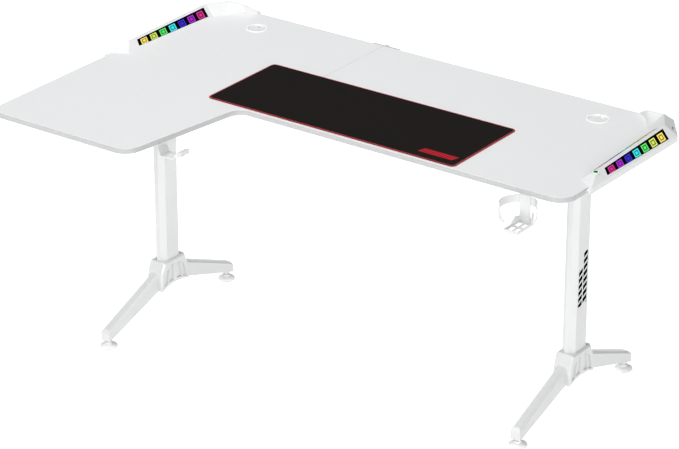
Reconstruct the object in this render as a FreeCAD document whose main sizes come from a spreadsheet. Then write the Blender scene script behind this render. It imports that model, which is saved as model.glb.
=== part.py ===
"""Corner desk with two metal legs, a light wing at each end, a desk mat and desk accessories.

Millimetres.  +X runs along the desk to the right, -Y faces the sitter and +Z is up.
The origin lies on the floor, under the middle of the whole desk.
"""
import FreeCAD
import Part
import Sketcher
import math
import os
import re

Vector = FreeCAD.Vector
Rotation = FreeCAD.Rotation
Placement = FreeCAD.Placement

# ---------------------------------------------------------------- driving dimensions

DIMENSIONS = {
    "desk_height": 750,
    "top_length": 1562,
    "top_depth": 1000,
    "main_depth": 600,
    "top_thick": 15,
    "top_corner": 50,
    "top_inner_corner": 40,
    "top_round": 1.5,
    "wing_front": 476,
    "wing_root": 534,
    "rear_reach": 48,
    "seam": -196,
    "seam_groove": 0.5,
    "joiner_long": 124,
    "joiner_wide": 36,
    "joiner_thick": 2.5,
    "joiner_front": 130,
    "joiner_rear": 345,
    "screw_radius": 2.05,
    "screw_play": 0.25,
    "pilot_play": 0.05,
    "screw_head": 4,
    "screw_head_high": 2.4,
    "screw_bite": 11,
    "sheet_hole": 2.3,
    "driver_hole": 6,

    "mat_long": 800,
    "mat_wide": 300,
    "mat_thick": 3,
    "mat_corner": 14,
    "mat_middle": 38,
    "mat_setback": 8,
    "mat_lift": 0.1,

    "grommet_side": 213,
    "grommet_rear": 99,
    "grommet_flange": 32,
    "grommet_bore": 28,
    "grommet_wall": 2,
    "grommet_flange_rise": 1.6,
    "grommet_cap_gap": 0.3,
    "grommet_cap_sink": 1.8,
    "grommet_slot_wide": 14,

    "riser_front": 505,
    "riser_front_in": 14,
    "riser_front_high": 19.6,
    "riser_turn": 89,
    "riser_turn_in": 19,
    "riser_turn_high": 27.5,
    "riser_turn_angle": 16.5,
    "riser_run": 1.35,
    "riser_corner": 24,
    "riser_corner_in": 57,
    "riser_corner_high": 26,
    "riser_corner_angle": 73,
    "riser_corner_inner": 56,
    "riser_corner_outer": 37.6,
    "riser_arm": 17,
    "riser_arm_in": 113,
    "riser_arm_high": 21,
    "riser_arm_inner": 4,
    "riser_overhang": 12,
    "riser_tip_in": 142,
    "riser_tip_high": 3,
    "riser_ridge_flat": 2,
    "riser_foot_edge": 0.4,
    "riser_wall": 2.5,
    "facet_outer_in": -13,
    "facet_outer": 499,
    "facet_inner_in": 41,
    "facet_inner": 468,
    "facet_slope": 25.4,
    "rear_cut": 58,
    "boss_radius": 4,
    "boss_hole": 1.6,
    "wing_screw": 1.55,
    "wing_screw_hole": 2.2,

    "lens_front": 408,
    "lens_rear": 111,
    "lens_lean": 9.6,
    "lens_foot_front": 5,
    "lens_foot_rear": 3.6,
    "lens_head": 4.8,
    "lens_thick": 1.6,
    "board_wide": 15,
    "board_thick": 1.6,
    "board_lift": 2,
    "led_size": 5,
    "led_count": 7,

    "button_in": 12,
    "button_back": 440,
    "button_radius": 6,
    "button_rise": 1.6,
    "button_play": 0.3,
    "button_travel": 0.8,
    "bezel_wall": 2,
    "bezel_top": 19,
    "bezel_foot": 9.5,
    "inlet_wide": 13,
    "inlet_high": 6.5,
    "inlet_deep": 14,
    "inlet_wall": 0.8,
    "inlet_lift": 3.5,
    "inlet_in": 20,
    "inlet_back": 65,

    "left_leg": -594,
    "left_leg_back": -18,
    "right_leg": 643,
    "right_leg_back": 171,
    "post_wide": 40,
    "post_deep": 80,
    "post_chamfer": 14,
    "post_wall": 2.5,
    "post_floor": 6,
    "post_foot": 128,
    "plate_wide": 96,
    "plate_deep": 130,
    "plate_thick": 5,
    "arm_wide": 60,
    "arm_high": 32,
    "arm_wall": 2.5,
    "left_arm_front": -400,
    "left_arm_rear": 360,
    "right_arm_front": -58,
    "right_arm_rear": 410,
    "rail_front": 10,
    "rail_rear": 240,
    "rail_wide": 40,
    "rail_high": 26,
    "rail_wall": 2,
    "flange_thick": 4,
    "flange_grow": 28,

    "beam_wide": 30,
    "beam_start": 42,
    "beam_end": 282,
    "beam_foot_start": 100,
    "beam_foot_end": 22,
    "beam_head_start": 152,
    "beam_head_end": 53,
    "beam_wall": 2.5,
    "beam_bevel": 6,
    "beam_nose": 7,
    "hub_half_wide": 27,
    "hub_top": 177,
    "hub_top_half": 45,
    "hub_shoulder": 150,
    "hub_shoulder_half": 58,
    "hub_foot": 93,
    "hub_foot_half": 61,
    "hub_arch": 12,
    "hub_bevel": 5,
    "hub_pocket": 5,
    "hub_bolt_reach": 20,
    "bolt_radius": 4,
    "bolt_hole": 4.3,
    "bolt_head": 7.2,
    "bolt_head_high": 5.3,
    "rail_bolt": 3,
    "rail_bolt_hole": 3.3,
    "rail_bolt_head": 5.8,
    "rail_bolt_head_high": 4,
    "rail_bolt_reach": 9.5,

    "foot_reach": 268,
    "foot_radius": 24,
    "foot_edge": 4,
    "foot_high": 12,
    "foot_stem": 5,
    "foot_stem_reach": 22,
    "foot_boss": 9,
    "foot_boss_foot": 20,
    "foot_play": 0.3,

    "ring_middle": 665,
    "ring_forward": 38,
    "ring_radius": 49.5,
    "ring_wall": 2.5,
    "ring_drop": 5,
    "ring_high": 21,
    "ring_left_drop": 21,
    "ring_right_drop": 26,
    "ring_tip": 1.5,
    "ring_land": 21.5,
    "ring_right_end": 3,
    "ring_left_end": 257,
    "holder_wide": 31,
    "holder_shift": 5,
    "holder_thick": 2.5,
    "holder_drop": 75,
    "holder_flange": 46,
    "shelf_wide": 42,
    "shelf_long": 76,
    "shelf_nose": 2.5,
    "shelf_rim": 4,
    "shelf_slot": 13,
    "shelf_slot_long": 23,
    "cheek_long": 39,
    "cheek_high": 18.5,
    "upright_long": 12,
    "upright_high": 30,

    "hook_side": -289,
    "hook_back": -392,
    "hook_wide": 37,
    "hook_thick": 3,
    "hook_lean": 8.5,
    "hook_drop": 31,
    "hook_reach": 44,
    "hook_lip": 19.5,
    "hook_lip_out": 15,
    "hook_curl": 12,
    "hook_curl_drop": 10,
    "hook_hole": 2.6,
    "hook_flange": 45,

    "cable_middle": -218,
    "cable_wide": 93,
    "cable_thick": 2.5,
    "cable_flange": 45,
    "cable_dip": 12,
    "cable_lip": 7,
    "cable_notch": 3,
    "cable_lobe": 39,
    "cable_loop_side": 19,
    "cable_loop_wide": 18,
    "cable_loop_high": 9,
    "cable_loop_wire": 3,
}

document = FreeCAD.newDocument("corner_desk")
sheet = document.addObject("Spreadsheet::Sheet", "Dims")
for row, (alias, number) in enumerate(DIMENSIONS.items(), start=1):
    sheet.set(f"A{row}", alias)
    sheet.set(f"B{row}", str(number))
    sheet.setAlias(f"B{row}", alias)
document.recompute()

# Sides of the desk: the right-hand pieces are drawn at +1 and mirrored for the left at -1.
SIDES = {"left": -1, "right": 1}

# Longer sizes that several pieces share, as formulas of the driving dimensions.
REAR = "((top_depth - rear_reach)/2)"
MAIN_FRONT = f"({REAR} - main_depth)"
WING_FRONT = f"({REAR} - top_depth)"
HALF = "(top_length/2)"
UNDER = "(desk_height - top_thick)"


def formula(text):
    """Turn a formula of plain dimension names into one that reads the sheet."""
    def name(match):
        word = match.group()
        return "Dims." + word if word in DIMENSIONS else word
    return re.sub(r"[a-z_]+", name, str(text))


def size(text):
    """The present number of a formula."""
    found = sheet.evalExpression(formula(text))
    return float(getattr(found, "Value", found))


def bind(thing, **properties):
    """Bind properties to formulas; a double underscore stands for a dot."""
    for name, text in properties.items():
        thing.setExpression(name.replace("__", "."), formula(text))
    return thing


def spot(x=0, y=0, z=0):
    """Placement formulas for a piece at a point, to pass on to bind."""
    return {"Placement__Base__x": x, "Placement__Base__y": y, "Placement__Base__z": z}


# ---------------------------------------------------------------- sketch and body helpers

def new_body(label):
    body = document.addObject("PartDesign::Body", label)
    body.Label = label
    return body


def origin_plane(body, role):
    return next(item for item in body.Origin.OriginFeatures if item.Role == role)


def new_sketch(body, role, name, **offset):
    """A sketch on one of the body's own origin planes, shifted by formulas."""
    drawing = body.newObject("Sketcher::SketchObject", name)
    drawing.AttachmentSupport = [(origin_plane(body, role), "")]
    drawing.MapMode = "FlatFace"
    for axis, text in offset.items():
        bind(drawing, **{f"AttachmentOffset__Base__{axis}": text})
    return drawing


def pin(drawing, piece, end, x, y):
    """Hold one point of a sketch at two formulas from the sketch's origin."""
    for kind, text in (("DistanceX", x), ("DistanceY", y)):
        number = drawing.addConstraint(Sketcher.Constraint(kind, -1, 1, piece, end, size(text)))
        drawing.setExpression(f"Constraints[{number}]", formula(text))


def outline(drawing, points):
    """Draw a closed outline of straight runs through points given as pairs of formulas."""
    corners = [Vector(size(x), size(y), 0) for x, y in points]
    first = drawing.GeometryCount
    count = len(corners)
    for index, corner in enumerate(corners):
        drawing.addGeometry(Part.LineSegment(corner, corners[(index + 1) % count]), False)
    for index in range(count):
        after = first + (index + 1) % count
        drawing.addConstraint(Sketcher.Constraint("Coincident", first + index, 2, after, 1))
    for index, (x, y) in enumerate(points):
        pin(drawing, first + index, 1, x, y)


def rectangle(drawing, x0, x1, y0, y1):
    outline(drawing, [(x0, y0), (x1, y0), (x1, y1), (x0, y1)])


def ring(drawing, radius, x=0, y=0):
    """Draw a full circle whose radius and middle are formulas."""
    middle = Vector(size(x), size(y), 0)
    piece = drawing.addGeometry(Part.Circle(middle, Vector(0, 0, 1), size(radius)), False)
    pin(drawing, piece, 3, x, y)
    number = drawing.addConstraint(Sketcher.Constraint("Radius", piece, size(radius)))
    drawing.setExpression(f"Constraints[{number}]", formula(radius))


def pad(body, drawing, length, both_ways=False, downwards=False):
    grown = body.newObject("PartDesign::Pad", "Pad")
    grown.Profile = drawing
    bind(grown, Length=length)
    grown.SideType = "Symmetric" if both_ways else "One side"
    grown.Reversed = downwards
    return grown


def pocket(body, drawing, length, both_ways=False, upwards=False):
    """Cut a sketch into the body, and make sure that something was cut away."""
    document.recompute()
    before = body.Shape.Volume
    cut = body.newObject("PartDesign::Pocket", "Pocket")
    cut.Profile = drawing
    bind(cut, Length=length)
    cut.SideType = "Symmetric" if both_ways else "One side"
    cut.Reversed = upwards
    document.recompute()
    if body.Shape.Volume >= before:
        raise ValueError(f"{body.Label}: {drawing.Label} cuts nothing")
    return cut


def edges_where(shape, test):
    """Names of the edges whose middle point passes a test."""
    names = []
    for number, edge in enumerate(shape.Edges, start=1):
        middle = edge.valueAt((edge.FirstParameter + edge.LastParameter) / 2)
        if test(edge, middle):
            names.append(f"Edge{number}")
    return names


def dress(body, kind, length, test):
    """Round or bevel the edges of the body's newest feature that pass a test."""
    document.recompute()
    base = body.Tip
    dressing = body.newObject(f"PartDesign::{kind}", kind)
    dressing.Base = (base, edges_where(base.Shape, test))
    bind(dressing, **{"Radius" if kind == "Fillet" else "Size": length})
    return dressing


def upright(edge):
    ends = [vertex.Point for vertex in edge.Vertexes]
    return len(ends) == 2 and abs(ends[0].z - ends[1].z) > 0.9 * edge.Length


def box(label, x0, x1, y0, y1, z0, z1):
    """A block between six formulas."""
    block = document.addObject("Part::Box", label)
    block.Label = label
    bind(block, Length=f"({x1}) - ({x0})", Width=f"({y1}) - ({y0})", Height=f"({z1}) - ({z0})")
    return bind(block, **spot(x0, y0, z0))


def rod(label, radius, height, x, y, z, sides=None):
    """An upright round rod, or a prism with a number of sides."""
    kind = "Part::Prism" if sides else "Part::Cylinder"
    bar = document.addObject(kind, label)
    bar.Label = label
    if sides:
        bar.Polygon = sides
        bind(bar, Circumradius=radius)
    else:
        bind(bar, Radius=radius)
    return bind(bar, Height=height, **spot(x, y, z))


def join(label, pieces):
    fused = document.addObject("Part::MultiFuse", label)
    fused.Label = label
    fused.Shapes = pieces
    return fused


def cut(label, base, tools):
    """The base with every tool cut away, one cut after another."""
    for number, tool in enumerate(tools, start=1):
        made = document.addObject("Part::Cut", f"{label}_{number}")
        made.Base = base
        made.Tool = tool
        base = made
    base.Label = label
    return base


def common(label, first, second):
    shared = document.addObject("Part::Common", label)
    shared.Label = label
    shared.Base = first
    shared.Tool = second
    return shared


def group(label, pieces):
    together = document.addObject("Part::Compound", label)
    together.Label = label
    together.Links = pieces
    return together


# ---------------------------------------------------------------- desk top

def top_blank(label):
    """The desk top's L-shaped slab with plain round corners and no holes."""
    body = new_body(label)
    drawing = new_sketch(body, "XY_Plane", "plan", z=UNDER)
    outline(drawing, [
        (f"-{HALF}", WING_FRONT),
        (f"wing_front - {HALF}", WING_FRONT),
        (f"wing_root - {HALF}", MAIN_FRONT),
        (HALF, MAIN_FRONT),
        (HALF, f"{REAR} - rear_cut"),
        (f"{HALF} - rear_cut*0.72", REAR),
        (f"rear_cut*0.72 - {HALF}", REAR),
        (f"-{HALF}", f"{REAR} - rear_cut"),
    ])
    pad(body, drawing, "top_thick")
    inner_x = size(f"wing_root - {HALF}")
    rear_corners = size(f"{REAR} - rear_cut") - 1

    def outer_corner(edge, point):
        return upright(edge) and point.y < rear_corners and abs(point.x - inner_x) > 1

    def inner_corner(edge, point):
        return upright(edge) and abs(point.x - inner_x) < 1

    dress(body, "Fillet", "top_corner", outer_corner)
    dress(body, "Fillet", "top_inner_corner", inner_corner)
    return body


def riser_screw_places(side):
    """Where the three screws of a light wing stand, as formula pairs."""
    spots = [("riser_front_in + 2", "facet_inner - 8"), ("riser_turn_in", "riser_turn + 4"),
             ("riser_arm_in - 20", "riser_arm")]
    return [(f"{side}*({HALF} - ({inward}))", f"{REAR} - ({forward})") for inward, forward in spots]


def top_screw_places():
    """Screws that hold the top to the arms under it, as formula pairs."""
    places = []
    for leg in SIDES:
        for share in (0.08, 0.5, 0.92):
            along = f"{leg}_arm_front + ({leg}_arm_rear - {leg}_arm_front)*{share}"
            for offset in (-1, 1):
                places.append((f"{leg}_leg + {offset}*arm_wide/4", along))
    return places


def accessory_screw_places():
    """Screws that hold the cup holder, the hook and the cable hook under the top."""
    places = []
    for offset in (-1, 1):
        places.append((f"ring_middle - holder_shift + {offset}*holder_wide/4",
                       f"{MAIN_FRONT} + holder_flange*0.65"))
        places.append(("hook_side - hook_flange*0.6", f"hook_back + {offset}*hook_wide/4"))
        places.append((f"cable_middle + {offset}*cable_wide/3", f"{REAR} - cable_flange*0.6"))
    return places


def joiner_screw_places(row):
    """Four screws in a line through each plate that joins the two panels."""
    return [(f"seam + {step}*joiner_long/5.2", f"joiner_{row}") for step in (-2, -1, 1, 2)]


def joining_plate(row):
    """A flat steel plate under the seam of the two panels."""
    x0, y0 = "(seam - joiner_long/2)", f"(joiner_{row} - joiner_wide/2)"
    plate = box(f"joiner_blank_{row}", x0, f"{x0} + joiner_long", y0, f"{y0} + joiner_wide",
                f"{UNDER} - joiner_thick", UNDER)
    holes = [rod("joiner_hole", "screw_radius + screw_play", 10, x, y, f"{UNDER} - 6")
             for x, y in joiner_screw_places(row)]
    return cut(f"joining_plate_{row}", plate, holes)


def desk_panels():
    """The desk top, cut along a seam into the panel with the side wing and the plain panel."""
    whole = whole_top()
    groove = rod("seam_groove", "seam_groove", "main_depth + 20", "seam", f"{MAIN_FRONT} - 10",
                 "desk_height", 4)
    groove.Placement = Placement(Vector(), Rotation(Vector(1, 0, 0), -90))
    bind(groove, **spot("seam", f"{MAIN_FRONT} - 10", "desk_height"))
    panels = []
    for name, x0, x1 in (("left", f"-{HALF} - 10", "seam"), ("right", "seam", f"{HALF} + 10")):
        side_block = box(f"panel_block_{name}", x0, x1, f"{WING_FRONT} - 10", f"{REAR} + 10",
                         f"{UNDER} - 5", "desk_height + 5")
        panel = common(f"panel_{name}", whole, side_block)
        panels.append(cut(f"desk_top_{name}", panel, [groove]))
    return panels


def whole_top():
    """The top with its grommet holes, screw holes and softened edges, before it is cut in two."""
    body = top_blank("desk_top")
    high, low = size("desk_height") - 0.01, size(UNDER) + 0.01

    def rim(edge, point):
        return not upright(edge) and (point.z > high or point.z < low)

    dress(body, "Fillet", "top_round", rim)
    drawing = new_sketch(body, "XY_Plane", "grommet_holes", z="desk_height")
    for side in SIDES.values():
        ring(drawing, "grommet_bore", f"{side}*({HALF} - grommet_side)", f"{REAR} - grommet_rear")
    pocket(body, drawing, "top_thick")
    drawing = new_sketch(body, "XY_Plane", "riser_screw_holes", z="desk_height")
    for side in SIDES.values():
        for x, y in riser_screw_places(side):
            ring(drawing, "wing_screw_hole", x, y)
    pocket(body, drawing, "top_thick")
    drawing = new_sketch(body, "XY_Plane", "pilot_holes", z=UNDER)
    joiner_places = joiner_screw_places("front") + joiner_screw_places("rear")
    for x, y in top_screw_places() + accessory_screw_places() + joiner_places:
        ring(drawing, "screw_radius + pilot_play", x, y)
    pocket(body, drawing, "top_thick*0.75", upwards=True)
    return body


def desk_mat():
    """The loose mat, a thin sheet with round corners, lying on the top."""
    body = new_body("desk_mat")
    drawing = new_sketch(body, "XY_Plane", "plan", z="desk_height + mat_lift")
    rectangle(drawing, "mat_middle - mat_long/2", "mat_middle + mat_long/2",
              f"{MAIN_FRONT} + mat_setback", f"{MAIN_FRONT} + mat_setback + mat_wide")
    pad(body, drawing, "mat_thick - mat_lift")
    dress(body, "Fillet", "mat_corner", lambda edge, point: upright(edge))
    return body


def grommet(name, side):
    """A flanged liner in the top's hole and a round cap with a cable slot that turns inside it."""
    x = f"{side}*({HALF} - grommet_side)"
    y = f"{REAR} - grommet_rear"
    inside = "grommet_bore - grommet_wall"
    liner = new_body(f"grommet_liner_{name}")
    drawing = new_sketch(liner, "XY_Plane", "flange")
    ring(drawing, "grommet_flange")
    ring(drawing, inside)
    pad(liner, drawing, "grommet_flange_rise")
    drawing = new_sketch(liner, "XY_Plane", "sleeve")
    ring(drawing, "grommet_bore")
    ring(drawing, inside)
    pad(liner, drawing, "top_thick", downwards=True)
    drawing = new_sketch(liner, "XY_Plane", "ledge", z="-top_thick*0.6")
    ring(drawing, "grommet_bore - 0.5")
    ring(drawing, "grommet_bore - grommet_wall*2.5")
    pad(liner, drawing, 2)
    dress(liner, "Fillet", 0.9, lambda edge, point: point.z > size("grommet_flange_rise") - 0.01)
    bind(liner, **spot(x, y, "desk_height"))

    cap = new_body(f"grommet_cap_{name}")
    radius = "grommet_bore - grommet_wall - grommet_cap_gap"
    drawing = new_sketch(cap, "XY_Plane", "disc", z="-grommet_cap_sink")
    ring(drawing, radius)
    pad(cap, drawing, "top_thick*0.6 - 2 - grommet_cap_gap - grommet_cap_sink + 0.2", downwards=True)
    drawing = new_sketch(cap, "XY_Plane", "cable_slot", z="-grommet_cap_sink")
    rectangle(drawing, "-grommet_slot_wide/2", "grommet_slot_wide/2", "grommet_bore*0.42", "grommet_bore*1.1")
    pocket(cap, drawing, "top_thick")
    bind(cap, **spot(x, y, "desk_height"))
    return [liner, cap]


# ---------------------------------------------------------------- light wings

def wing_section(body, name, inward, forward, turn, points):
    """One upright section of the left light wing, across its ridge, turned about the upright."""
    drawing = new_sketch(body, "XZ_Plane", name, x=f"({inward}) - {HALF}", y="desk_height",
                         z=f"{forward} - {REAR}")
    drawing.AttachmentOffset = Placement(Vector(), Rotation(Vector(0, 1, 0), 1))
    bind(drawing, AttachmentOffset__Rotation__Angle=f"360 - ({turn})")
    outline(drawing, points)
    return drawing


def roof_points(inner, outer, high, inset):
    """Section of the wing: a skirt outside, a slope up to a flat ridge and a slope down inside."""
    outside = f"({inset}) - ({outer})"
    inside = f"({inner}) - 1.7*({inset})"
    top = f"({high}) - 1.25*({inset})"
    return [(outside, "-top_thick"), (outside, f"-0.5*({inset})"), ("-riser_ridge_flat", top),
            ("riser_ridge_flat", top), (inside, "riser_foot_edge"), (inside, "-top_thick")]


def wing_form(label, inset="0"):
    """The solid roof of a light wing along the side edge, round the rear corner and along the rear."""
    body = new_body(label)
    half_front = "riser_run*riser_front_high"
    half_turn = "riser_run*riser_turn_high/cos(riser_turn_angle)"
    sections = [
        wing_section(body, "front", "riser_front_in", "riser_front", 0,
                     roof_points(half_front, half_front, "riser_front_high", inset)),
        wing_section(body, "turn", "riser_turn_in", "riser_turn", "riser_turn_angle",
                     roof_points(half_turn, half_turn, "riser_turn_high", inset)),
        wing_section(body, "corner", "riser_corner_in", "riser_corner", "riser_corner_angle",
                     roof_points("riser_corner_inner", "riser_corner_outer", "riser_corner_high", inset)),
        wing_section(body, "arm", "riser_arm_in", "riser_arm", 90,
                     roof_points("riser_arm_inner + 2", "riser_arm + riser_overhang", "riser_arm_high",
                                 inset)),
    ]
    if inset == "0":
        sections.append(
            wing_section(body, "tip", "riser_tip_in", 0, 90,
                         roof_points("riser_ridge_flat + 0.5", "riser_overhang", "riser_tip_high", inset)))
    loft = body.newObject("PartDesign::AdditiveLoft", "Roof")
    loft.Profile = sections[0]
    loft.Sections = sections[1:]
    loft.Ruled = True
    return body


def front_facet(drop):
    """A big block whose underside is the slanting facet at the left wing's front, lowered by a drop."""
    block = document.addObject("Part::Box", "facet_block")
    block.Length = 260
    block.Width = 200
    block.Height = 80
    turn = "atan2(facet_outer - facet_inner; facet_inner_in - facet_outer_in)"
    block.setExpression("Placement", formula(
        "create(<<placement>>; create(<<vector>>;"
        f" facet_inner_in - {HALF}; {REAR} - facet_inner; desk_height - {drop});"
        f" create(<<rotation>>; {turn}; 0; facet_slope))"
        " * create(<<placement>>; create(<<vector>>; -130; -150; 0); create(<<rotation>>; 0; 0; 0))"))
    return block


def lens_corner(face, end, edge):
    """Plan position of one lens corner: inner or outer face, front or rear end, foot or head edge."""
    share = f"(riser_front - lens_{end})/(riser_front - riser_turn)"
    ridge = f"(riser_front_in + (riser_turn_in - riser_front_in)*{share})"
    high = f"(riser_front_high + (riser_turn_high - riser_front_high)*{share})"
    if edge == "foot":
        away = f"riser_run*({high} - lens_foot_{end})"
        forward = f"lens_{end} + lens_lean/2"
    else:
        away = "riser_run*lens_head"
        forward = f"lens_{end} - lens_lean/2"
    way = "+" if face == "inner" else "-"
    return f"{ridge} {way} {away} - {HALF}", f"{REAR} - ({forward})"


def lens_prism(face):
    """An upright prism with the leaning outline of a lens, seen from above."""
    body = new_body(f"window_{face}")
    drawing = new_sketch(body, "XY_Plane", "plan", z="desk_height")
    outline(drawing, [lens_corner(face, "front", "foot"), lens_corner(face, "rear", "foot"),
                      lens_corner(face, "rear", "head"), lens_corner(face, "front", "head")])
    pad(body, drawing, "riser_turn_high*2")
    return body


def mirrored(label, source):
    """The same piece on the other side of the desk."""
    image = document.addObject("Part::Mirroring", label)
    image.Label = label
    image.Source = source
    image.Base = Vector(0, 0, 0)
    image.Normal = Vector(1, 0, 0)
    return image


def light_wings():
    """Both light wings: the left one is cut and the right one is its mirror image with a button."""
    form = wing_form("wing_form")
    under_lens = wing_form("wing_under_lens", "lens_thick")
    screws = riser_screw_places(-1)
    bosses = [rod("boss", "boss_radius", 40, x, y, UNDER) for x, y in screws]
    bores = [rod("boss_bore", "boss_hole", "top_thick + 5", x, y, UNDER) for x, y in screws]
    hollow = cut("wing_hollow", wing_form("wing_inside", "riser_wall"),
                 [front_facet("riser_wall*1.1")] + bosses)
    windows = {face: lens_prism(face) for face in ("inner", "outer")}
    shell = cut("light_wing_left", form,
                [hollow, front_facet(0), top_blank("wing_seat")] + list(windows.values()) + bores)
    pieces = [shell]
    for face, window in windows.items():
        plate = common(f"lens_plate_{face}", window, form)
        lens = cut(f"lens_{face}_left", plate, [under_lens])
        pieces += [lens, mirrored(f"lens_{face}_right", lens)]
    x = f"({HALF} - button_in)"
    y = f"({REAR} - button_back)"
    bezel = rod("bezel", "button_radius + button_play + bezel_wall", "bezel_top - bezel_foot", x, y,
                "desk_height + bezel_foot")
    bezel_bore = rod("bezel_bore", "button_radius + button_play", 60, x, y, "desk_height")
    with_bezel = join("wing_with_bezel", [mirrored("wing_image", shell), bezel])
    pieces.append(cut("light_wing_right", with_bezel, [bezel_bore, inlet_block("inlet_hole", 0, 30)]))
    pieces += [light_button(x, y), switch_board(x, y), power_inlet()]
    for name, side in SIDES.items():
        pieces.append(lamp_board(name, side))
    return pieces


def lamp_board(name, side):
    """A flat circuit board on the desk top under the ridge, with a row of lamps on it."""
    body = new_body(f"lamp_board_{name}")
    drawing = new_sketch(body, "XY_Plane", "board")
    rectangle(drawing, "-board_wide/2", "board_wide/2", 0, "lens_front - lens_rear - lens_lean*2")
    pad(body, drawing, "board_thick")
    drawing = new_sketch(body, "XY_Plane", "lamps", z="board_thick - 0.1")
    for number in range(DIMENSIONS["led_count"]):
        middle = f"(lens_front - lens_rear - lens_lean*2)*{(number + 0.5) / DIMENSIONS['led_count']:.4f}"
        rectangle(drawing, "-led_size/2", "led_size/2", f"{middle} - led_size/2", f"{middle} + led_size/2")
    pad(body, drawing, 1.7)
    feet = new_sketch(body, "XY_Plane", "stand_offs", z=0.1)
    for share in (0.1, 0.9):
        ring(feet, 2.5, 0, f"(lens_front - lens_rear - lens_lean*2)*{share}")
    pad(body, feet, "board_lift + 0.1", downwards=True)
    middle_in = "(riser_front_in + riser_turn_in)/2"
    return bind(body, **spot(f"{side}*({HALF} - {middle_in})", f"{REAR} - lens_front + lens_lean",
                             "desk_height + board_lift"))


def light_button(x, y):
    """The push button that changes the light: a cap, a flange that keeps it in and a stem."""
    body = new_body("light_button")
    top = "bezel_top + button_rise"
    profile = new_sketch(body, "XZ_Plane", "profile")
    outline(profile, [
        (0, "bezel_top*0.35 + button_travel + 0.4"),
        (2, "bezel_top*0.35 + button_travel + 0.4"),
        (2, "bezel_top - 4"),
        ("button_radius", "bezel_top - 4"),
        ("button_radius", f"{top} - 0.8"),
        ("button_radius - 0.8", top),
        (0, top),
    ])
    turned = body.newObject("PartDesign::Revolution", "Turned")
    turned.Profile = profile
    turned.ReferenceAxis = (profile, ["V_Axis"])
    turned.Angle = 360
    return bind(body, **spot(x, y, "desk_height"))


def switch_board(x, y):
    """The small board under the button with its push switch."""
    board = box("switch_plate", f"{x} - 8", f"{x} + 8", f"{y} - 9", f"{y} + 9", "desk_height",
                "desk_height + board_thick")
    switch = box("switch_body", f"{x} - 3", f"{x} + 3", f"{y} - 3", f"{y} + 3", "desk_height + 1.5",
                 "desk_height + bezel_top*0.35 - 1")
    plunger = rod("switch_plunger", 1.6, 1.3, x, y, "desk_height + bezel_top*0.35 - 1.1")
    return join("switch_board", [board, switch, plunger])


def inlet_block(label, grow, deep):
    """A block at the power inlet's place in the right wing's rear corner, facing outward."""
    block = document.addObject("Part::Box", label)
    block.Label = label
    bind(block, Length=deep, Width=f"inlet_wide + 2*{grow}", Height=f"inlet_high + 2*{grow}")
    turn = "90 deg - atan2(riser_turn - riser_corner; riser_corner_in - riser_turn_in)"
    block.setExpression("Placement", formula(
        "create(<<placement>>; create(<<vector>>;"
        f" {HALF} - inlet_in; {REAR} - inlet_back; desk_height + inlet_lift);"
        f" create(<<rotation>>; {turn}; 0; 0))"
        f" * create(<<placement>>; create(<<vector>>; 0; -inlet_wide/2 - {grow}; -{grow});"
        " create(<<rotation>>; 0; 0; 0))"))
    return block


def power_inlet():
    """The socket that a power lead plugs into, a box with one open end."""
    outside = inlet_block("inlet_outside", 0, "inlet_deep")
    inside = inlet_block("inlet_inside", "(-inlet_wall)", 60)
    back = inlet_block("inlet_back", 0, 2)
    return join("power_inlet", [cut("inlet_sleeve", outside, [inside]), back])


# ---------------------------------------------------------------- legs and frame

def octagon(grow=""):
    """The post's section: a rectangle with its corners cut off."""
    x, y, c = f"(post_wide/2 {grow})", f"(post_deep/2 {grow})", "post_chamfer"
    near, far = f"({x} - {c})", f"({y} - {c})"
    return [(x, f"-{far}"), (x, far), (near, y), (f"-{near}", y), (f"-{x}", far), (f"-{x}", f"-{far}"),
            (f"-{near}", f"-{y}"), (near, f"-{y}")]


def post(name):
    """The upright octagonal tube with the plate welded on its top."""
    body = new_body(f"post_{name}")
    drawing = new_sketch(body, "XY_Plane", "tube", z="post_foot")
    outline(drawing, octagon())
    height = f"{UNDER} - arm_high - plate_thick - post_foot"
    pad(body, drawing, height)
    drawing = new_sketch(body, "XY_Plane", "plate", z=f"post_foot + {height}")
    rectangle(drawing, "-plate_wide/2", "plate_wide/2", "-plate_deep/2", "plate_deep/2")
    pad(body, drawing, "plate_thick")
    drawing = new_sketch(body, "XY_Plane", "bore", z="post_foot + post_floor")
    outline(drawing, octagon("- post_wall"))
    pocket(body, drawing, f"{height} - post_floor", upwards=True)
    drawing = new_sketch(body, "XY_Plane", "threads", z="post_foot + post_floor")
    for way in (-1, 1):
        ring(drawing, "bolt_radius + 0.05", 0, f"{way}*hub_bolt_reach")
    pocket(body, drawing, "post_floor")
    drawing = new_sketch(body, "XY_Plane", "plate_holes", z=f"post_foot + {height} + plate_thick")
    for x, y in plate_bolt_places():
        ring(drawing, "bolt_hole", x, y)
    pocket(body, drawing, "plate_thick")
    return bind(body, **spot(f"{name}_leg", f"{name}_leg_back"))


def plate_bolt_places():
    return [(f"{across}*arm_wide*0.3", f"{along}*(plate_deep/2 - 12)")
            for across in (-1, 1) for along in (-1, 1)]


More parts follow.
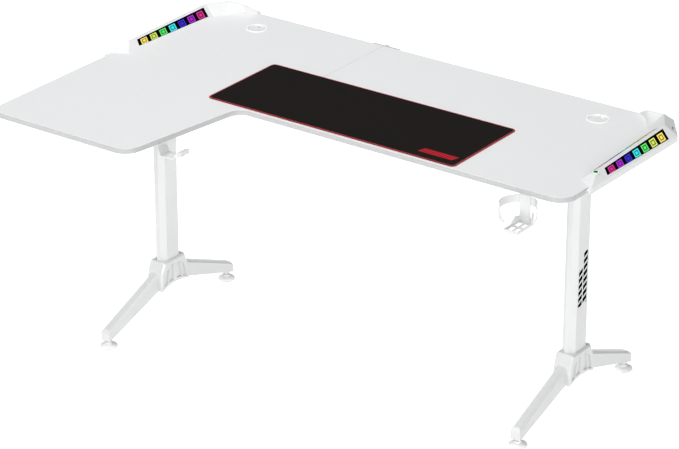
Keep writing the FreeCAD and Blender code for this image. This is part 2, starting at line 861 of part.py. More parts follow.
def frame_arm(name):
    """The square tube on top of a post that carries the desk top."""
    front, rear = f"({name}_arm_front)", f"({name}_arm_rear)"
    x0, x1 = f"({name}_leg - arm_wide/2)", f"({name}_leg + arm_wide/2)"
    z0 = f"({UNDER} - arm_high)"
    wall = "arm_wall"
    outside = box(f"arm_outside_{name}", x0, x1, front, rear, z0, UNDER)
    inside = box(f"arm_inside_{name}", f"({x0} + {wall})", f"({x1} - {wall})", f"({front} - 5)",
                 f"({rear} + 5)", f"({z0} + {wall})", f"({UNDER} - {wall})")
    tools = [inside]
    for x, y in plate_bolt_places():
        tools.append(rod("arm_hole", "bolt_hole", 10, f"{name}_leg + {x}", f"{name}_leg_back + {y}",
                         f"{z0} - 4"))
    for x, y in top_screw_places():
        if x.startswith(name):
            tools.append(rod("screw_hole", 2.5, 8, x, y, f"{UNDER} - 6"))
            tools.append(rod("driver_hole", "driver_hole", 8, x, y, f"{z0} - 4"))
    sideways = "left_leg + arm_wide/2" if name == "left" else "right_leg - arm_wide/2"
    for place in rail_bolt_places():
        tools.append(lying_rod("rail_hole", "rail_bolt_hole", 12, f"{sideways} - 6", *place))
    return cut(f"frame_arm_{name}", outside, tools)


def lying_rod(label, radius, length, x, y, z, sides=None):
    """A rod or prism that lies along +X from a point."""
    bar = rod(label, radius, length, x, y, z, sides)
    bar.Placement = Placement(Vector(), Rotation(Vector(0, 1, 0), 90))
    return bind(bar, **spot(x, y, z))


def rail_bolt_places():
    """The two bolts at each end of each rail, as pairs of y and z formulas."""
    return [(f"rail_{row} + {step}*(rail_wide/2 + flange_grow/4)", f"{UNDER} - arm_high/2")
            for row in ("front", "rear") for step in (-1, 1)]


def rail(row):
    """A long tube between the two arms, with a bolting plate welded on each end."""
    x0, x1 = "(left_leg + arm_wide/2)", "(right_leg - arm_wide/2)"
    y0, y1 = f"(rail_{row} - rail_wide/2)", f"(rail_{row} + rail_wide/2)"
    z1 = f"({UNDER} - (arm_high - rail_high)/2)"
    z0 = f"({z1} - rail_high)"
    wall = "rail_wall"
    tube = cut(f"rail_tube_{row}", box(f"rail_outside_{row}", x0, x1, y0, y1, z0, z1),
               [box(f"rail_inside_{row}", f"({x0} - 5)", f"({x1} + 5)", f"({y0} + {wall})",
                    f"({y1} - {wall})", f"({z0} + {wall})", f"({z1} - {wall})")])
    plates = [box("end_plate", start, f"({start} + flange_thick)", f"({y0} - flange_grow/2)",
                  f"({y1} + flange_grow/2)", f"({UNDER} - arm_high)", UNDER)
              for start in (x0, f"({x1} - flange_thick)")]
    holes = []
    for start in (x0, f"({x1} - flange_thick)"):
        for y, z in rail_bolt_places():
            if f"rail_{row}" in y:
                holes.append(lying_rod("plate_hole", "rail_bolt_hole", 12, f"{start} - 4", y, z))
    return cut(f"frame_rail_{row}", join(f"rail_joined_{row}", [tube] + plates), holes)


def beam_profile(grow="0"):
    """Side view of a foot beam that slopes down from the hub to the foot, as y and z formulas."""
    foot_slope = "((beam_foot_start - beam_foot_end)/(beam_end - beam_start))"
    head_slope = "((beam_head_start - beam_head_end)/(beam_end - beam_start))"
    if grow == "0":
        return [("beam_start", "beam_foot_start"), ("beam_end", "beam_foot_end"),
                ("beam_end", "beam_head_end - beam_nose"),
                ("beam_end - beam_nose", f"beam_head_end + beam_nose*{head_slope}"),
                ("beam_start", "beam_head_start")]
    return [("beam_start - 5", f"beam_foot_start + 5*{foot_slope} + {grow}"),
            (f"beam_end - {grow}", f"beam_foot_end + {grow}*(1 + {foot_slope})"),
            (f"beam_end - {grow}", f"beam_head_end - beam_nose - {grow}/2"),
            (f"beam_end - beam_nose - {grow}/2", f"beam_head_end + beam_nose*{head_slope} - {grow}"),
            ("beam_start - 5", f"beam_head_start + 5*{head_slope} - {grow}*1.1")]


def beam_middle(point):
    """Height of the line that runs half-way between the under and upper faces of a foot beam."""
    start, end = size("beam_start"), size("beam_end")
    share = (abs(point.y) - start) / (end - start)
    high, low = size("(beam_foot_start + beam_head_start)/2"), size("(beam_foot_end + beam_head_end)/2")
    return high + (low - high) * share


def beam_form(label, way):
    """The solid outside of a foot beam, pointing to the front (-1) or to the rear (+1)."""
    body = new_body(label)
    drawing = new_sketch(body, "YZ_Plane", "side_view")
    outline(drawing, [(f"{way}*({y})", z) for y, z in beam_profile()])
    pad(body, drawing, "beam_wide", both_ways=True)
    half = size("beam_wide/2")

    def top_edge(edge, point):
        return abs(abs(point.x) - half) < 0.01 and edge.Length > 100 and point.z > beam_middle(point)

    dress(body, "Chamfer", "beam_bevel", top_edge)
    return body


def foot_beam(row, name, way):
    """A hollow foot beam with the threaded boss for its foot."""
    label = f"foot_beam_{row}_{name}"
    outside = beam_form(f"{label}_outside", way)
    inside = new_body(f"{label}_inside")
    drawing = new_sketch(inside, "YZ_Plane", "side_view")
    outline(drawing, [(f"{way}*({y})", z) for y, z in beam_profile("beam_wall")])
    pad(inside, drawing, "beam_wide - 2*beam_wall", both_ways=True)
    dress(inside, "Chamfer", "beam_bevel*0.85",
          lambda edge, point: abs(abs(point.x) - size("beam_wide/2 - beam_wall")) < 0.01
          and edge.Length > 100 and point.z > beam_middle(point))
    at_leg = spot(f"{name}_leg", f"{name}_leg_back")
    for part in (outside, inside):
        bind(part, **at_leg)
    middle_y = f"{name}_leg_back + {way}*foot_reach"
    boss = rod("foot_boss", "foot_boss", 12, f"{name}_leg", middle_y, "foot_boss_foot")
    bore = rod("foot_bore", "foot_stem + foot_play", 29, f"{name}_leg", middle_y, "foot_boss_foot - 4")
    shell = cut(f"{label}_shell", outside, [inside])
    return cut(label, join(f"{label}_joined", [shell, boss]), [bore])


def hub(name):
    """The cast hub that holds the post and both foot beams, with ribs in its sides and an arch below."""
    label = f"hub_{name}"
    body = new_body(f"{label}_form")
    drawing = new_sketch(body, "YZ_Plane", "side_view")
    corners = [("hub_foot_half", "hub_foot"), ("hub_foot_half", "hub_shoulder - 22"),
               ("hub_shoulder_half", "hub_shoulder"), ("hub_top_half", "hub_top"),
               ("-hub_top_half", "hub_top"), ("-hub_shoulder_half", "hub_shoulder"),
               ("-hub_foot_half", "hub_shoulder - 22"), ("-hub_foot_half", "hub_foot"),
               ("-hub_foot_half*0.55", "hub_foot + hub_arch*0.75"), (0, "hub_foot + hub_arch"),
               ("hub_foot_half*0.55", "hub_foot + hub_arch*0.75")]
    outline(drawing, corners)
    pad(body, drawing, "hub_half_wide*2", both_ways=True)
    half = size("hub_half_wide")
    shoulder = size("hub_shoulder") - 30

    def outer_edge(edge, point):
        return abs(abs(point.x) - half) < 0.01 and point.z > shoulder

    dress(body, "Chamfer", "hub_bevel", outer_edge)
    for face in (-1, 1):
        drawing = new_sketch(body, "YZ_Plane", "pockets", z=f"{face}*hub_half_wide")
        for way in (-1, 1):
            outline(drawing, [(f"{way}*8", "hub_foot + hub_arch + 8"),
                              (f"{way}*28", "hub_foot + hub_arch + 5"),
                              (f"{way}*20", "hub_shoulder + 10"), (f"{way}*8", "hub_shoulder + 14")])
            outline(drawing, [(f"{way}*34", "hub_foot + hub_arch + 3"), (f"{way}*50", "hub_foot + 10"),
                              (f"{way}*40", "hub_shoulder - 6"), (f"{way}*27", "hub_shoulder + 6")])
        pocket(body, drawing, "hub_pocket", upwards=face < 0)
    bind(body, **spot(f"{name}_leg", f"{name}_leg_back"))
    tools = []
    for way in (-1, 1):
        tool = beam_form(f"{label}_beam_tool", way)
        tools.append(bind(tool, **spot(f"{name}_leg", f"{name}_leg_back")))
    socket = new_body(f"{label}_post_tool")
    drawing = new_sketch(socket, "XY_Plane", "socket", z="post_foot")
    outline(drawing, octagon())
    pad(socket, drawing, 80)
    tools.append(bind(socket, **spot(f"{name}_leg", f"{name}_leg_back")))
    for way in (-1, 1):
        tools.append(rod("hub_bolt_hole", "bolt_hole", 60, f"{name}_leg",
                         f"{name}_leg_back + {way}*hub_bolt_reach", "hub_foot - 5"))
    return cut(label, body, tools)


def levelling_foot(row, name, way):
    """A round foot on a threaded stem that screws in and out of the beam's end."""
    body = new_body(f"foot_{row}_{name}")
    profile = new_sketch(body, "XZ_Plane", "profile")
    outline(profile, [
        (0, 0),
        ("foot_radius - 2", 0),
        ("foot_radius", 1.5),
        ("foot_radius", "1.5 + foot_edge"),
        ("foot_radius*0.8", "foot_high - 3"),
        ("foot_stem + 5", "foot_high"),
        ("foot_stem + 5", "foot_high + 4"),
        ("foot_stem", "foot_high + 4"),
        ("foot_stem", "beam_foot_end + foot_stem_reach"),
        (0, "beam_foot_end + foot_stem_reach"),
    ])
    turned = body.newObject("PartDesign::Revolution", "Turned")
    turned.Profile = profile
    turned.ReferenceAxis = (profile, ["V_Axis"])
    turned.Angle = 360
    return bind(body, **spot(f"{name}_leg", f"{name}_leg_back + {way}*foot_reach"))


# ---------------------------------------------------------------- accessories

def cup_ring():
    """The open ring of the cup holder, a rolled strip with a flat land where it meets its bracket."""
    body = new_body("cup_ring")
    drawing = new_sketch(body, "XY_Plane", "plan")
    open_ring(drawing)
    pad(body, drawing, "ring_high + ring_right_drop", downwards=True)
    cut_ring_end(body, "left", "-0.1", "-0.57", "-0.975", upwards=False)
    cut_ring_end(body, "right", "0.75", "0.55", "0.05", upwards=True)
    return bind(body, **spot("ring_middle", f"{MAIN_FRONT} - ring_forward", f"{UNDER} - ring_drop"))


def cut_ring_end(body, side, low_from, high_from, tip, upwards):
    """Slope the ring's lower and upper edges down to a narrow tip at one of its ends."""
    low_from, high_from, tip = (f"({share}*ring_radius)" for share in (low_from, high_from, tip))
    deep = f"(ring_high + ring_{side}_drop)"
    drawing = new_sketch(body, "YZ_Plane", f"{side}_lower_edge")
    outline(drawing, [("ring_radius + 10", "-ring_high"), (low_from, "-ring_high"), (tip, f"-{deep}"),
                      ("-ring_radius - 10", f"-{deep}"), ("-ring_radius - 10", f"-{deep} - 30"),
                      ("ring_radius + 10", f"-{deep} - 30")])
    pocket(body, drawing, "ring_radius*2", upwards=upwards)
    drawing = new_sketch(body, "YZ_Plane", f"{side}_upper_edge")
    outline(drawing, [(high_from, 0), (tip, f"ring_tip - {deep}"),
                      ("-ring_radius - 10", f"ring_tip - {deep}"),
                      ("-ring_radius - 10", 10), (high_from, 10)])
    pocket(body, drawing, "ring_radius*2", upwards=upwards)


def open_ring(drawing):
    """Two nested arcs with a flat land between them at the rear, closed at both open ends."""
    outer, wall, land = size("ring_radius"), size("ring_wall"), size("ring_land")
    inner = outer - wall
    ends = [math.radians(size("ring_right_end")), math.radians(size("ring_left_end"))]
    up = Vector(0, 0, 1)
    flat_outer = math.sqrt(outer ** 2 - land ** 2)
    flat_inner = flat_outer - wall
    land_inner = math.sqrt(inner ** 2 - flat_inner ** 2)
    pieces = []
    for radius, half, level in ((outer, land, flat_outer), (inner, land_inner, flat_inner)):
        start = math.atan2(level, half)
        circle = Part.Circle(Vector(), up, radius)
        pieces.append(drawing.addGeometry(Part.ArcOfCircle(circle, ends[0], start), False))
        land_line = Part.LineSegment(Vector(half, level, 0), Vector(-half, level, 0))
        pieces.append(drawing.addGeometry(land_line, False))
        pieces.append(drawing.addGeometry(Part.ArcOfCircle(circle, math.pi - start, ends[1]), False))
    for angle, outside, inside, end in ((ends[0], pieces[0], pieces[3], 1),
                                        (ends[1], pieces[2], pieces[5], 2)):
        direction = Vector(math.cos(angle), math.sin(angle), 0)
        closing = drawing.addGeometry(Part.LineSegment(direction * outer, direction * inner), False)
        drawing.addConstraint(Sketcher.Constraint("Coincident", closing, 1, outside, end))
        drawing.addConstraint(Sketcher.Constraint("Coincident", closing, 2, inside, end))
    for arc, line, other in ((pieces[0], pieces[1], pieces[2]), (pieces[3], pieces[4], pieces[5])):
        drawing.addConstraint(Sketcher.Constraint("Coincident", arc, 2, line, 1))
        drawing.addConstraint(Sketcher.Constraint("Coincident", line, 2, other, 1))


def cup_bracket():
    """The cup holder's bent bracket: a flange under the top, a strap and a slotted shelf."""
    body = new_body("cup_bracket")
    flat = math.sqrt(size("ring_radius") ** 2 - size("ring_land") ** 2) - size("ring_wall")
    front = f"({flat:.3f} - ring_forward - holder_thick)"
    rear = f"({front} + holder_thick)"
    drawing = new_sketch(body, "YZ_Plane", "strap")
    outline(drawing, [
        (front, 0), (front, "-holder_drop"), (rear, "-holder_drop"),
        (rear, "-holder_thick"), (f"{rear} + holder_flange", "-holder_thick"),
        (f"{rear} + holder_flange", 0),
    ])
    pad(body, drawing, "holder_wide", both_ways=True)
    left, right = "(holder_shift - shelf_wide/2)", "(holder_shift + shelf_wide/2)"
    tip = f"({rear} - shelf_long)"
    floor = "(-holder_drop - holder_thick)"
    drawing = new_sketch(body, "XY_Plane", "shelf", z=floor)
    outline(drawing, shelf_outline(left, right, tip, rear))
    pad(body, drawing, "holder_thick")
    drawing = new_sketch(body, "XY_Plane", "rim", z="-holder_drop - 0.1")
    outline(drawing, shelf_outline(left, right, tip, rear))
    rectangle(drawing, f"{left} + holder_thick", f"{right} - holder_thick", f"{tip} + holder_thick",
              f"{rear} - holder_thick")
    pad(body, drawing, "shelf_rim + 0.1")
    drawing = new_sketch(body, "YZ_Plane", "cheek", z=left)
    outline(drawing, [(rear, floor), (f"{rear} - cheek_long", floor),
                      (f"{rear} - cheek_long", "cheek_high*0.45 - holder_drop"),
                      (f"{rear} - cheek_long*0.6", "cheek_high - holder_drop"),
                      (rear, "cheek_high*0.7 - holder_drop")])
    pad(body, drawing, "holder_thick")
    drawing = new_sketch(body, "YZ_Plane", "narrow_cheek", z=right)
    outline(drawing, [(rear, floor), (f"{rear} - upright_long", floor),
                      (f"{rear} - upright_long*0.7", "upright_high - holder_drop"),
                      (rear, "upright_high - holder_drop")])
    pad(body, drawing, "holder_thick", downwards=True)
    drawing = new_sketch(body, "XZ_Plane", "back_wall", z=f"-{rear}")
    rectangle(drawing, left, right, floor, "cheek_high*0.7 - holder_drop")
    pad(body, drawing, "holder_thick")
    drawing = new_sketch(body, "XY_Plane", "slots", z="-holder_drop")
    for step in (-1, 1):
        for share in (0.12, 0.54):
            x = f"(holder_shift + {step}*shelf_wide*0.22)"
            y = f"({tip} + shelf_long*{share})"
            rectangle(drawing, f"{x} - shelf_slot/2", f"{x} + shelf_slot/2", y, f"{y} + shelf_slot_long")
    pocket(body, drawing, "holder_thick")
    drawing = new_sketch(body, "XY_Plane", "screw_holes")
    for offset in (-1, 1):
        ring(drawing, "sheet_hole", f"{offset}*holder_wide/4", "holder_flange*0.65")
    pocket(body, drawing, "holder_thick")
    return bind(body, **spot("ring_middle - holder_shift", MAIN_FRONT, UNDER))


def shelf_outline(left, right, tip, rear):
    """Plan of the cup holder's shelf, a rectangle with its two front corners cut off."""
    return [(right, rear), (right, f"{tip} + shelf_nose"), (f"{right} - shelf_nose", tip),
            (f"{left} + shelf_nose", tip), (left, f"{tip} + shelf_nose"), (left, rear)]


def headphone_hook():
    """A bent strip under the inner edge of the side wing, with an arm and a curled lip."""
    body = new_body("headphone_hook")
    thick = "hook_thick"
    floor = f"(-hook_drop - {thick})"
    lip_x, lip_z = "(hook_reach + hook_lip_out)", f"(hook_lip + {floor})"
    bend_from = f"(-{thick}*3)"
    drawing = new_sketch(body, "XZ_Plane", "side_view")
    outline(drawing, [
        ("-hook_flange", 0), ("-hook_flange", f"-{thick}"), ("-hook_lean", f"-{thick}"),
        ("-hook_lean", bend_from), (0, floor), ("hook_reach", floor), (lip_x, lip_z),
        (f"{lip_x} + hook_curl - {thick}", f"{lip_z} + 4"),
        (f"{lip_x} + hook_curl - {thick}", f"{lip_z} + 4 - hook_curl_drop"),
        (f"{lip_x} + hook_curl", f"{lip_z} + 4 - hook_curl_drop"),
        (f"{lip_x} + hook_curl", f"{lip_z} + 4 + {thick}"),
        (f"{lip_x} - {thick}*0.7", f"{lip_z} + {thick}*1.2"),
        (f"hook_reach - {thick}*0.6", "-hook_drop"), (f"{thick}*0.9", "-hook_drop"),
        (f"{thick} - hook_lean", bend_from), (f"{thick} - hook_lean", 0),
    ])
    pad(body, drawing, "hook_wide", both_ways=True)

    def bend(edge, point):
        across = abs(point.y) < 0.01 and edge.Length > size("hook_wide") - 0.1
        return across and point.z < size("-hook_thick") - 1

    dress(body, "Fillet", 1, bend)
    drawing = new_sketch(body, "XY_Plane", "screw_holes")
    for offset in (-1, 1):
        ring(drawing, "sheet_hole", "-hook_flange*0.6", f"{offset}*hook_wide/4")
    pocket(body, drawing, thick)
    drawing = new_sketch(body, "YZ_Plane", "hole_in_plate")
    ring(drawing, "hook_hole", "hook_wide*0.3", "-hook_drop*0.4")
    pocket(body, drawing, "hook_lean + hook_thick")
    return bind(body, **spot("hook_side", "hook_back", UNDER))


def cable_hook():
    """A bent strip behind the rear edge that keeps leads up: a trough in two lobes and a small loop."""
    body = new_body("cable_hook")
    thick = "cable_thick"
    level = "(rear_reach*0.52)"
    drawing = new_sketch(body, "YZ_Plane", "side_view")
    outline(drawing, [
        ("-cable_flange", 0), ("-cable_flange", f"-{thick}"), (level, f"-{thick}"),
        (f"{level} + cable_dip", f"-cable_dip - {thick}"), ("rear_reach", f"-cable_dip - {thick}"),
        ("rear_reach", "cable_lip - cable_dip"), (f"rear_reach - {thick}", "cable_lip - cable_dip"),
        (f"rear_reach - {thick}", "-cable_dip"), (f"{level} + cable_dip + 1", "-cable_dip"),
        (f"{level} + 1", 0),
    ])
    pad(body, drawing, "cable_wide", both_ways=True)
    drawing = new_sketch(body, "XY_Plane", "gap", z="cable_lip + 5")
    split = "(cable_wide/2 - cable_lobe)"
    rectangle(drawing, f"{split} - cable_notch", split, "rear_reach*0.4", "rear_reach + 5")
    pocket(body, drawing, 40)
    drawing = new_sketch(body, "XZ_Plane", "loop", z=f"-{level}")
    outline(drawing, loop_outline("0", "-0.1"))
    outline(drawing, loop_outline("cable_loop_wire", "0.5"))
    pad(body, drawing, thick)
    drawing = new_sketch(body, "XY_Plane", "screw_holes", z=5)
    for offset in (-1, 1):
        ring(drawing, "sheet_hole", f"{offset}*cable_wide/3", "-cable_flange*0.6")
    pocket(body, drawing, 15)
    return bind(body, **spot("cable_middle", REAR, UNDER))


def loop_outline(inset, foot):
    """The arched outline of the small loop, or of the opening inside it, seen from behind."""
    half, top = f"(cable_loop_wide/2 - {inset})", f"(cable_loop_high - {inset})"
    return [(f"cable_loop_side - {half}", foot), (f"cable_loop_side + {half}", foot),
            (f"cable_loop_side + {half}", f"{top} - {half}*0.6"), (f"cable_loop_side + {half}*0.5", top),
            (f"cable_loop_side - {half}*0.5", top), (f"cable_loop_side - {half}", f"{top} - {half}*0.6")]


# ---------------------------------------------------------------- fasteners

def upward_screw(x, y, z, head_radius, head_high, radius, length, sides=None):
    """A screw whose head hangs below the level z and whose shank goes up from it."""
    head = rod("screw_head", head_radius, head_high, x, y, f"{z} - {head_high}", sides)
    shank = rod("screw_shank", radius, f"{length} + 0.5", x, y, f"{z} - 0.5")
    return join("screw", [head, shank])


def fasteners():
    """Every kind of fastener, each kind as one group of separate solids."""
    arm_floor = f"({UNDER} - arm_high)"
    groups = [
        group("top_screws", [wood_screw(x, y, "arm_wall") for x, y in top_screw_places()]),
        group("accessory_screws", [wood_screw(x, y, accessory_thickness(x))
                                   for x, y in accessory_screw_places()]),
        group("joining_screws", [wood_screw(x, y, "joiner_thick")
                                 for row in ("front", "rear") for x, y in joiner_screw_places(row)]),
        group("wing_screws", [upward_screw(x, y, UNDER, "screw_head", "screw_head_high", "wing_screw",
                                           "top_thick + 4.5")
                              for side in SIDES.values() for x, y in riser_screw_places(side)]),
    ]
    plate_bolts = [upward_screw(f"{name}_leg + {x}", f"{name}_leg_back + {y}", f"({arm_floor} - plate_thick)",
                                "bolt_head", "bolt_head_high", "bolt_radius", "plate_thick + 12", 6)
                   for name in SIDES for x, y in plate_bolt_places()]
    groups.append(group("plate_bolts", plate_bolts))
    rail_bolts = []
    for y, z in rail_bolt_places():
        for start, way in (("left_leg + arm_wide/2 + flange_thick", -1),
                           ("right_leg - arm_wide/2 - flange_thick", 1)):
            reach = "flange_thick + rail_bolt_reach"
            shank_from = start if way > 0 else f"{start} - ({reach})"
            shank = lying_rod("bolt_shank", "rail_bolt", reach, shank_from, y, z)
            head_from = f"{start} - rail_bolt_head_high" if way > 0 else start
            head = lying_rod("bolt_head", "rail_bolt_head", "rail_bolt_head_high", head_from, y, z, 6)
            rail_bolts.append(join("rail_bolt", [head, shank]))
    groups.append(group("rail_bolts", rail_bolts))
    hub_bolts = [upward_screw(f"{name}_leg", f"{name}_leg_back + {way}*hub_bolt_reach", "(hub_foot + 6.5)",
                              "bolt_head", "bolt_head_high", "bolt_radius",
                              "post_foot - hub_foot - 6.5 + post_floor + 2", 6)
                 for name in SIDES for way in (-1, 1)]
    groups.append(group("hub_bolts", hub_bolts))
    return groups


def wood_screw(x, y, sheet_thick):
    """A screw up into the desk top, through a sheet of a named thickness under it."""
    return upward_screw(x, y, f"({UNDER} - {sheet_thick})", "screw_head", "screw_head_high", "screw_radius",
                        f"{sheet_thick} + screw_bite")


def accessory_thickness(x):
    """Name of the sheet thickness under an accessory's screw."""
    if "ring_middle" in x:
        return "holder_thick"
    if "hook_side" in x:
        return "hook_thick"
    return "cable_thick"


# ---------------------------------------------------------------- the whole desk

def build():
    """Make every sub-part and return them in one list."""
    parts = desk_panels() + [desk_mat(), joining_plate("front"), joining_plate("rear")]
    for name, side in SIDES.items():
        parts += grommet(name, side)
        parts += [post(name), frame_arm(name), hub(name)]
        for row, way in (("front", -1), ("rear", 1)):
            parts += [foot_beam(row, name, way), levelling_foot(row, name, way)]
    parts += light_wings()
    parts += [rail("front"), rail("rear")]
    parts += [cup_ring(), cup_bracket(), headphone_hook(), cable_hook()]
    parts += fasteners()
    return parts


def check(parts):
    """Stop if anything in the document failed, or if a sub-part has no good shape."""
    document.recompute()
    for item in document.Objects:
        if "Invalid" in item.State or "Error" in item.State:
            raise RuntimeError(f"{item.Label} failed: {item.State}")
    for part in parts:
        if part.Shape.isNull() or not part.Shape.isValid():
            raise RuntimeError(f"{part.Label} has no good shape")


sub_parts = build()
check(sub_parts)
os.makedirs("parts", exist_ok=True)
for sub_part in sub_parts:
    sub_part.Shape.exportStep(f"parts/{sub_part.Label}.step")
    print(f"{sub_part.Label:26s} solids {len(sub_part.Shape.Solids)}  volume {sub_part.Shape.Volume:12.1f}")
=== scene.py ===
"""Looks of the corner desk: paints, the cloth mat with its stitched edge, lamp marks, light and camera.

Metres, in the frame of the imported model: +X to the sitter's right, -Y towards the sitter, +Z up.
"""

import math

import bpy
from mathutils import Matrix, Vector


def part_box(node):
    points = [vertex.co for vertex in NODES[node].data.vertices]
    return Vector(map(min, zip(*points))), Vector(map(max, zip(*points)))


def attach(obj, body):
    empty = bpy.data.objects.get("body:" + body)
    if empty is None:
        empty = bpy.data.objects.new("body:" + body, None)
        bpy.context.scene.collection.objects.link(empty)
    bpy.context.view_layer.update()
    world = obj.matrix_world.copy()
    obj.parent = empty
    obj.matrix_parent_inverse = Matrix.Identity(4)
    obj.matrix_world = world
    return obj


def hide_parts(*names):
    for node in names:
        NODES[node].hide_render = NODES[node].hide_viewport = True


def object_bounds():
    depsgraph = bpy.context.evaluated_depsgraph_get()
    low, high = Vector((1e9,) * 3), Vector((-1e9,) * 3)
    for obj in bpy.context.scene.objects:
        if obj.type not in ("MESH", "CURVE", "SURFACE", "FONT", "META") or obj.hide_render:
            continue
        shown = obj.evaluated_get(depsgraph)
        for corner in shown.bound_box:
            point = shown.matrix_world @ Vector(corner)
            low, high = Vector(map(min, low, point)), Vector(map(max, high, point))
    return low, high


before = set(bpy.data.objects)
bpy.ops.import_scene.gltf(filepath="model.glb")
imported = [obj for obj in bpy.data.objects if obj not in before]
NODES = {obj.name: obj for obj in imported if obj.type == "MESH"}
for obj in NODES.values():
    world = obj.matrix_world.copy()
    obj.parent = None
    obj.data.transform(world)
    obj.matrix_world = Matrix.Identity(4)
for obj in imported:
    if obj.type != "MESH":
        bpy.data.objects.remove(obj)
cad_low, cad_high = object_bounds()

MM = 0.001
SIDES = ("left", "right")


# ---------------------------------------------------------------- material graph

class Paint:
    """One material's node graph, with short calls for the kinds of node used below."""

    def __init__(self, name, colour, roughness, **sockets):
        self.material = bpy.data.materials.new(name)
        self.material.use_nodes = True
        self.tree = self.material.node_tree
        self.shader = self.tree.nodes["Principled BSDF"]
        self.shader.inputs["Base Color"].default_value = (*colour, 1)
        self.shader.inputs["Roughness"].default_value = roughness
        for socket, number in sockets.items():
            self.shader.inputs[socket.replace("_", " ")].default_value = number
        coordinates = self.tree.nodes.new("ShaderNodeTexCoord")
        self.place = coordinates.outputs["Object"]
        self.facing = coordinates.outputs["Normal"]

    def node(self, kind, outlet, settings=(), **sockets):
        """Add a node, give its sockets numbers or links, and return one of its outlets."""
        made = self.tree.nodes.new("ShaderNode" + kind)
        for setting, choice in dict(settings).items():
            setattr(made, setting, choice)
        for socket, given in sockets.items():
            key = int(socket[1:]) if socket[1:].isdigit() else socket.replace("_", " ")
            if isinstance(given, bpy.types.NodeSocket):
                self.tree.links.new(given, made.inputs[key])
            else:
                made.inputs[key].default_value = given
        return made.outputs[outlet]

    def maths(self, operation, first, second=0.0, third=0.0):
        return self.node("Math", 0, {"operation": operation}, i0=first, i1=second, i2=third)

    def axes(self, vector=None):
        """The three parts of a vector, the place on the object unless told otherwise."""
        parts = self.tree.nodes.new("ShaderNodeSeparateXYZ")
        self.tree.links.new(vector or self.place, parts.inputs[0])
        return parts.outputs

    def noise(self, scale, detail=2.0, roughness=0.5):
        return self.node("TexNoise", "Fac", Vector=self.place, Scale=scale, Detail=detail,
                         Roughness=roughness)

    def spread(self, share, low, high):
        """Map a share of 0 to 1 onto low to high."""
        return self.node("MapRange", "Result", Value=share, To_Min=low, To_Max=high)

    def between(self, value, low, high):
        """1 where a value lies between low and high, and 0 elsewhere."""
        above = self.maths("GREATER_THAN", value, low)
        below = self.maths("LESS_THAN", value, high)
        return self.maths("MULTIPLY", above, below)

    def both(self, first, second):
        return self.maths("MULTIPLY", first, second)

    def blend(self, share, first, second):
        """Mix two colours, each a socket or three numbers."""
        mixer = self.tree.nodes.new("ShaderNodeMix")
        mixer.data_type = "RGBA"
        for key, given in (("Factor", share), ("A", first), ("B", second)):
            inlet = next(i for i in mixer.inputs if i.name == key and (key == "Factor" or i.type == "RGBA"))
            if isinstance(given, bpy.types.NodeSocket):
                self.tree.links.new(given, inlet)
            else:
                inlet.default_value = given if key == "Factor" else (*given, 1)
        return next(o for o in mixer.outputs if o.type == "RGBA")

    def ramp(self, share, stops):
        """The colour of the last (place, colour) stop that a share has passed, with no blending."""
        made = self.tree.nodes.new("ShaderNodeValToRGB")
        made.color_ramp.interpolation = "CONSTANT"
        elements = made.color_ramp.elements
        while len(elements) < len(stops):
            elements.new(0.5)
        for element, (place, colour) in zip(elements, stops):
            element.position = place
            element.color = (*colour, 1)
        self.tree.links.new(share, made.inputs["Fac"])
        return made.outputs["Color"]

    def bump(self, height, distance, after=None):
        """Bumps of a real height in metres, on top of earlier ones."""
        made = self.tree.nodes.new("ShaderNodeBump")
        made.inputs["Strength"].default_value = 1.0
        made.inputs["Distance"].default_value = distance
        self.tree.links.new(height, made.inputs["Height"])
        if after is not None:
            self.tree.links.new(after, made.inputs["Normal"])
        return made.outputs["Normal"]

    def use(self, **links):
        """Link sockets of the shader, named with underscores for spaces."""
        for socket, outlet in links.items():
            self.tree.links.new(outlet, self.shader.inputs[socket.replace("_", " ")])
        return self.material


def shade(colour, factor):
    """A colour made lighter or darker."""
    return tuple(part * factor for part in colour)


# ---------------------------------------------------------------- materials

WHITE = (0.75, 0.755, 0.76)


def twill(paint, tow):
    """Woven bands: (height of the cloth, 1 where the lengthwise band is on top)."""
    x, y, _ = paint.axes()
    across = paint.maths("DIVIDE", x, tow)
    along = paint.maths("DIVIDE", y, tow)
    steps = paint.maths("ADD", paint.maths("FLOOR", across), paint.maths("FLOOR", along))
    repeat, over = 4, 2
    turn = paint.maths("FLOORED_MODULO", steps, repeat)
    on_top = paint.maths("LESS_THAN", turn, over - 0.5)
    lengthwise = paint.maths("SINE", paint.both(paint.maths("FRACT", across), math.pi))
    crosswise = paint.maths("SINE", paint.both(paint.maths("FRACT", along), math.pi))
    height = paint.node("Mix", 0, {"data_type": "FLOAT"}, i0=on_top, i2=crosswise, i3=lengthwise)
    return height, on_top


